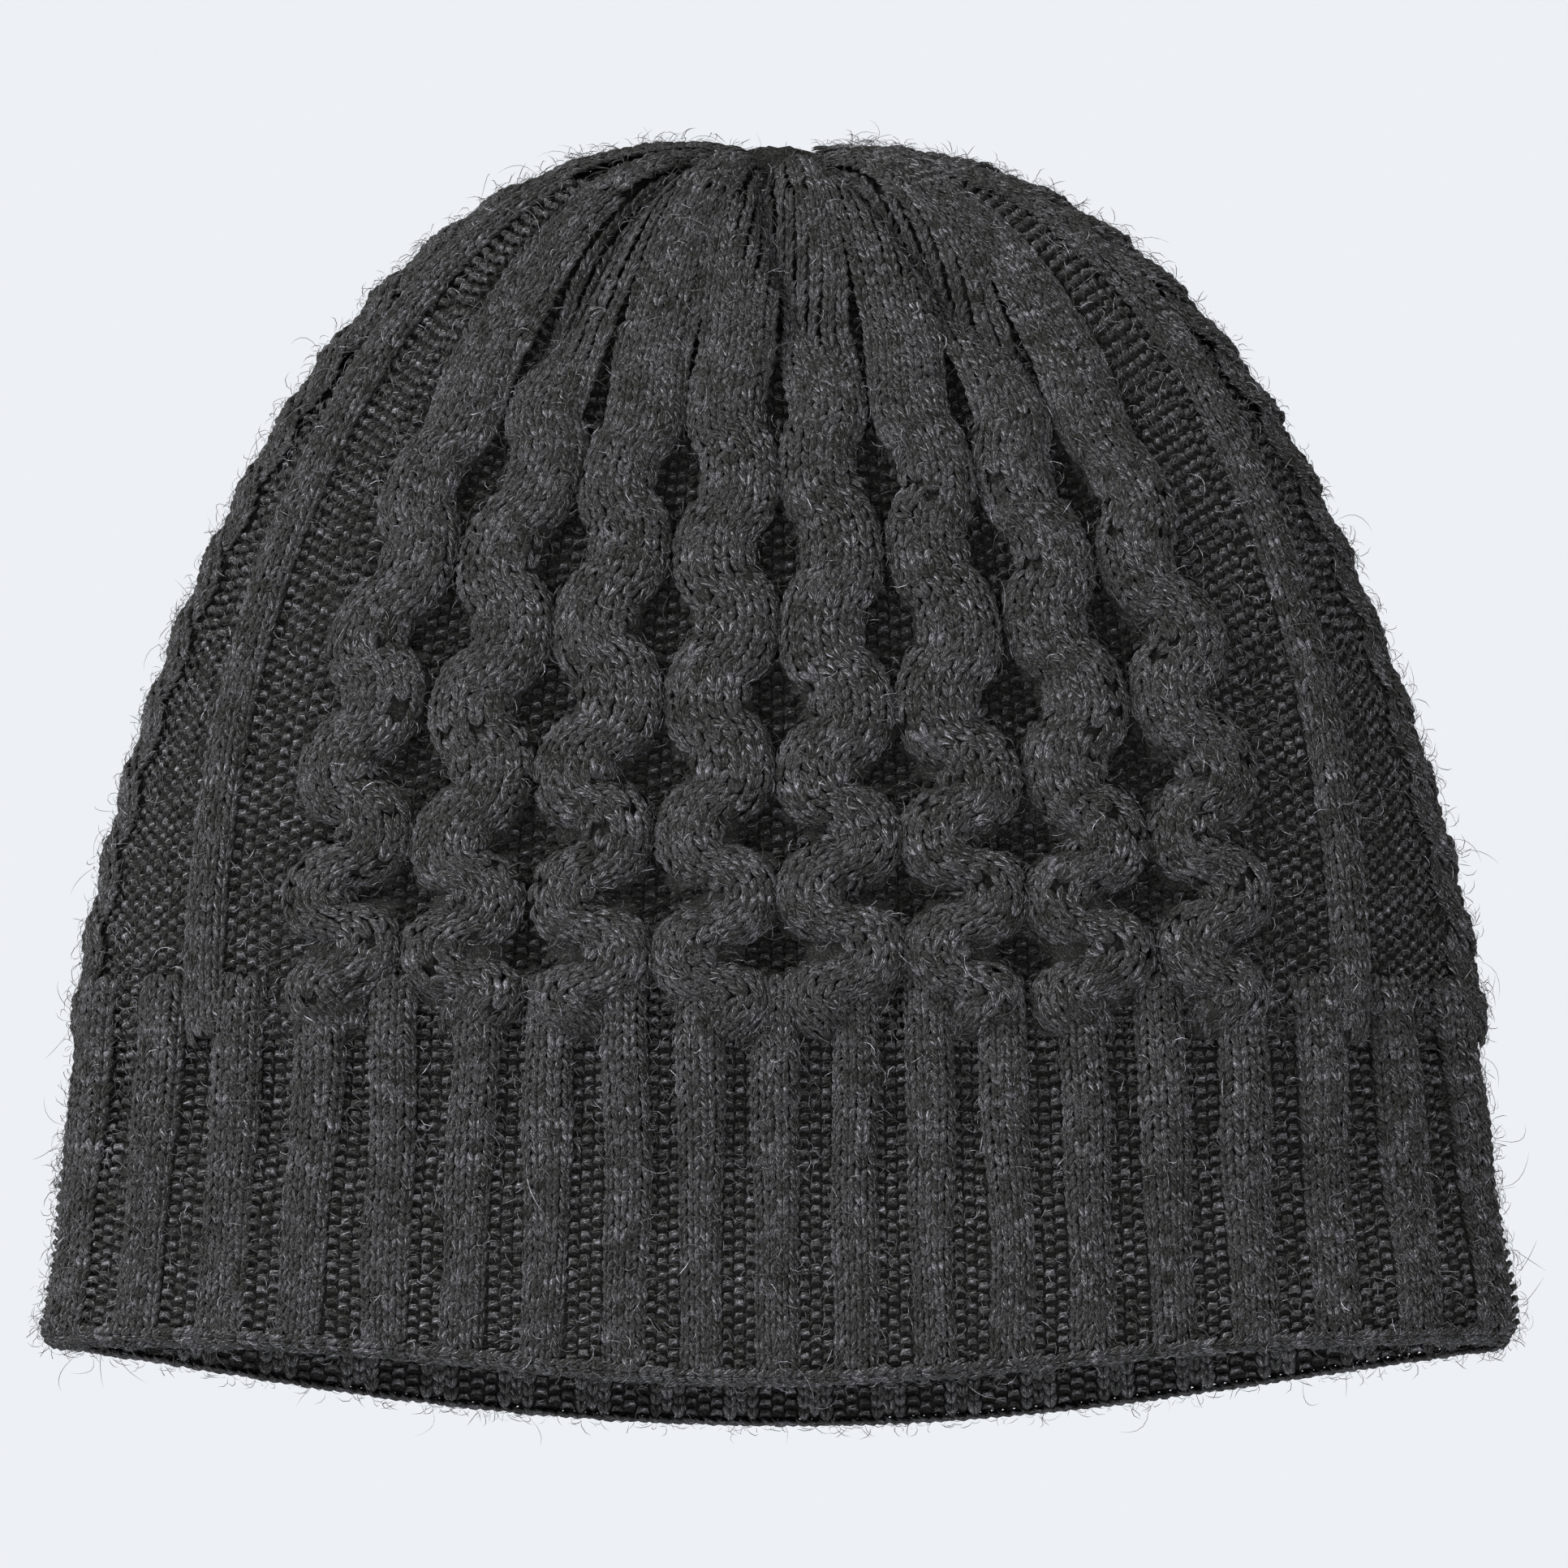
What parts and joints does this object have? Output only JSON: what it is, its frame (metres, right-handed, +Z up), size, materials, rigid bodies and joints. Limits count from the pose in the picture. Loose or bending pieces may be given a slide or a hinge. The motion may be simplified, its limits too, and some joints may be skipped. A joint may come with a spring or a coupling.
{
  "type": "knit beanie",
  "caption": "Soft dome-shaped knitted hat with a ribbed cuff, honeycomb cable panels, rope cables at the sides and a gathered crown.",
  "frame": {"origin": "centre of the head opening, level with the side folds of the brim", "axes": "+Z up to the crown, -Y the front of the hat, +X to the right as seen from the front"},
  "size_m": [0.2438, 0.084, 0.2095],
  "materials": {
    "wool_yarn": "charcoal melange lambswool, knitted, brushed and fuzzy",
    "satin_label": "blank woven satin",
    "sewing_thread": "spun polyester thread"
  },
  "bodies": {
    "crown": {"honeycomb_panel_front": "wool_yarn", "honeycomb_panel_back": "wool_yarn", "purl_gutter_front_right": "wool_yarn", "knit_rib_front_right": "wool_yarn", "side_cable_right": "wool_yarn", "knit_rib_back_right": "wool_yarn", "purl_gutter_back_right": "wool_yarn", "purl_gutter_back_left": "wool_yarn", "knit_rib_back_left": "wool_yarn", "side_cable_left": "wool_yarn", "knit_rib_front_left": "wool_yarn", "purl_gutter_front_left": "wool_yarn", "crown_decreases_front": "wool_yarn", "crown_decreases_back": "wool_yarn", "crown_centre": "wool_yarn", "crown_gathering_yarn": "wool_yarn", "back_seam_crown": "wool_yarn", "care_label_stitches": "sewing_thread"},
    "cuff_front_flap": {"cuff_front": "wool_yarn", "cast_on_edge_front": "wool_yarn"},
    "cuff_back_flap": {"cuff_back": "wool_yarn", "cast_on_edge_back": "wool_yarn", "back_seam_cuff": "wool_yarn"},
    "label": {"care_label": "satin_label"}
  },
  "joints": [
    {"name": "cuff_front_opens", "type": "hinge", "parent": "crown", "child": "cuff_front_flap", "pos_m": [0, -0.042, 0.0478], "axis": [-1, 0, 0], "range_deg": [0, 20], "stiffness_Nm_per_rad": 0.2, "springref_deg": -5.73},
    {"name": "cuff_back_opens", "type": "hinge", "parent": "crown", "child": "cuff_back_flap", "pos_m": [0, 0.042, 0.0478], "axis": [1, 0, 0], "range_deg": [0, 20], "stiffness_Nm_per_rad": 0.2, "springref_deg": -5.73},
    {"name": "label_swings", "type": "hinge", "parent": "crown", "child": "label", "pos_m": [0, 0.03, 0.0969], "axis": [-1, 0, 0], "range_deg": [0, 70]}
  ]
}
